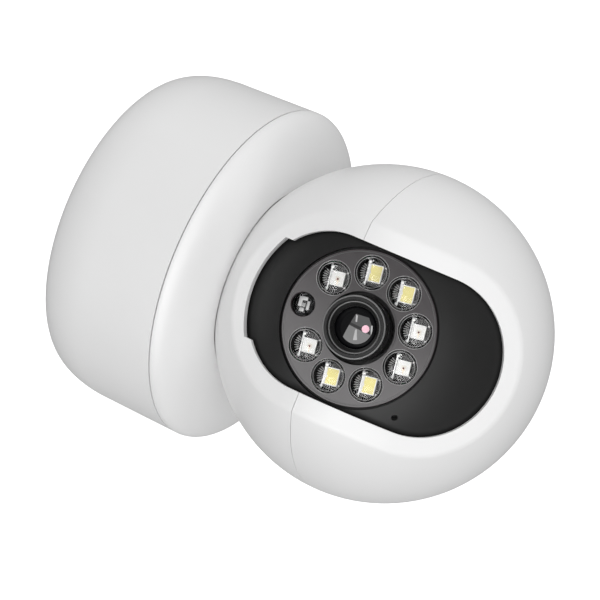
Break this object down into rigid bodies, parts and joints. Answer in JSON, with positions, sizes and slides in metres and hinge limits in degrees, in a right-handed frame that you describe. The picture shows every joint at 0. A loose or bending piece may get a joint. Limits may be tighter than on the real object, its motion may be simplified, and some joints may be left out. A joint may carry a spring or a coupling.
{
  "type": "pan tilt security camera",
  "caption": "Round-based security camera whose ball pans on the base and holds a slotted drum that tilts a lens ringed by white and infrared lamps.",
  "frame": {"origin": "centre of the face the camera stands on, which is also the face that goes against a wall or ceiling", "axes": "+Z along the pan axis from the base to the ball; -Y the way the lens faces with the pan at zero; X along the tilt axis"},
  "size_m": [0.0724, 0.0722, 0.0962],
  "materials": {
    "white_shell": "satin moulded",
    "white_plate": "satin moulded",
    "button_plastic": "satin",
    "foot_rubber": "matte",
    "drum_plastic": "fine spark texture",
    "face_plastic": "polished",
    "lens_black": "black anodised",
    "holder_plastic": "matte",
    "clear_dome": "clear moulded",
    "sensor_dome": "clear moulded",
    "lens_glass": "coated",
    "filter_glass": "coated",
    "white_phosphor": "yellow phosphor in a white package",
    "infrared_lamp": "white package with a dark die",
    "circuit_board": "green solder mask",
    "lamp_board": "black solder mask",
    "components": "matte",
    "steel": "plated",
    "motor_can": "plated",
    "gear_plastic": "natural acetal",
    "inner_plastic": "glass-filled",
    "steel_shaft": "ground",
    "screw_steel": "zinc plated",
    "speaker_frame": "matte",
    "wire": "taped bundle",
    "flex_film": "polyimide film"
  },
  "bodies": {
    "base": {"base_cup": "white_shell", "base_front_cover": "white_shell", "cover_screws": "screw_steel", "pan_bush": "gear_plastic", "pan_motor": "motor_can", "pan_motor_screws": "screw_steel", "main_board": "circuit_board", "board_screws": "screw_steel", "board_components": "components", "usb_c_inlet": "steel", "card_socket": "steel", "reset_switch": "steel", "speaker": "speaker_frame", "pan_cable": "wire"},
    "wall_plate": {"wall_plate": "white_plate", "rubber_foot_ring": "foot_rubber"},
    "pinion": {"pan_pinion": "gear_plastic"},
    "button": {"reset_button": "button_plastic"},
    "head": {"head_lower_shell": "white_shell", "head_upper_shell": "white_shell", "shell_screws": "screw_steel", "neck_hub": "inner_plastic", "hub_flange_screws": "screw_steel", "pan_ring_gear": "gear_plastic", "hub_retaining_ring": "inner_plastic", "hub_screws": "screw_steel", "tilt_bracket_right": "inner_plastic", "tilt_bracket_left": "inner_plastic", "tilt_bush": "gear_plastic", "tilt_shaft": "steel_shaft", "bracket_screws": "screw_steel", "head_flex": "flex_film"},
    "camera": {"drum_front_shell": "drum_plastic", "drum_rear_cover": "drum_plastic", "drum_screws": "screw_steel", "face_plate": "face_plastic", "lamp_domes": "clear_dome", "white_lamps": "white_phosphor", "infrared_lamps": "infrared_lamp", "light_sensor": "sensor_dome", "led_board": "lamp_board", "lens_barrel": "lens_black", "lens_glass": "lens_glass", "lens_holder": "holder_plastic", "sensor_board": "circuit_board", "image_sensor": "components", "microphone": "steel", "tilt_motor": "motor_can", "tilt_motor_screws": "screw_steel", "drum_harness": "wire"},
    "filter": {"ir_cut_filter": "filter_glass"}
  },
  "joints": [
    {"name": "pan", "type": "hinge", "parent": "base", "child": "head", "pos_m": [0, 0, 0.062], "axis": [0, 0, 1], "range_deg": [-177, 177]},
    {"name": "tilt", "type": "hinge", "parent": "head", "child": "camera", "pos_m": [0, 0, 0.062], "axis": [-1, 0, 0], "range_deg": [-28, 40]},
    {"name": "pinion_spin", "type": "hinge", "parent": "base", "child": "pinion", "pos_m": [-0.02165, 0, 0.0219], "axis": [0, 0, 1], "range_deg": [-507, 507]},
    {"name": "wall_plate_twist", "type": "hinge", "parent": "base", "child": "wall_plate", "pos_m": [0, 0, 0.002], "axis": [0, 0, 1], "range_deg": [0, 20]},
    {"name": "reset_press", "type": "slide", "parent": "base", "child": "button", "axis": [0, -1, 0], "range_m": [0, 0.0005], "stiffness_N_per_m": 600},
    {"name": "filter_slide", "type": "slide", "parent": "camera", "child": "filter", "axis": [1, 0, 0], "range_m": [0, 0.0042]}
  ],
  "couplings": [
    {"joint": "pinion_spin", "follows": "pan", "ratio": -2.8571}
  ]
}
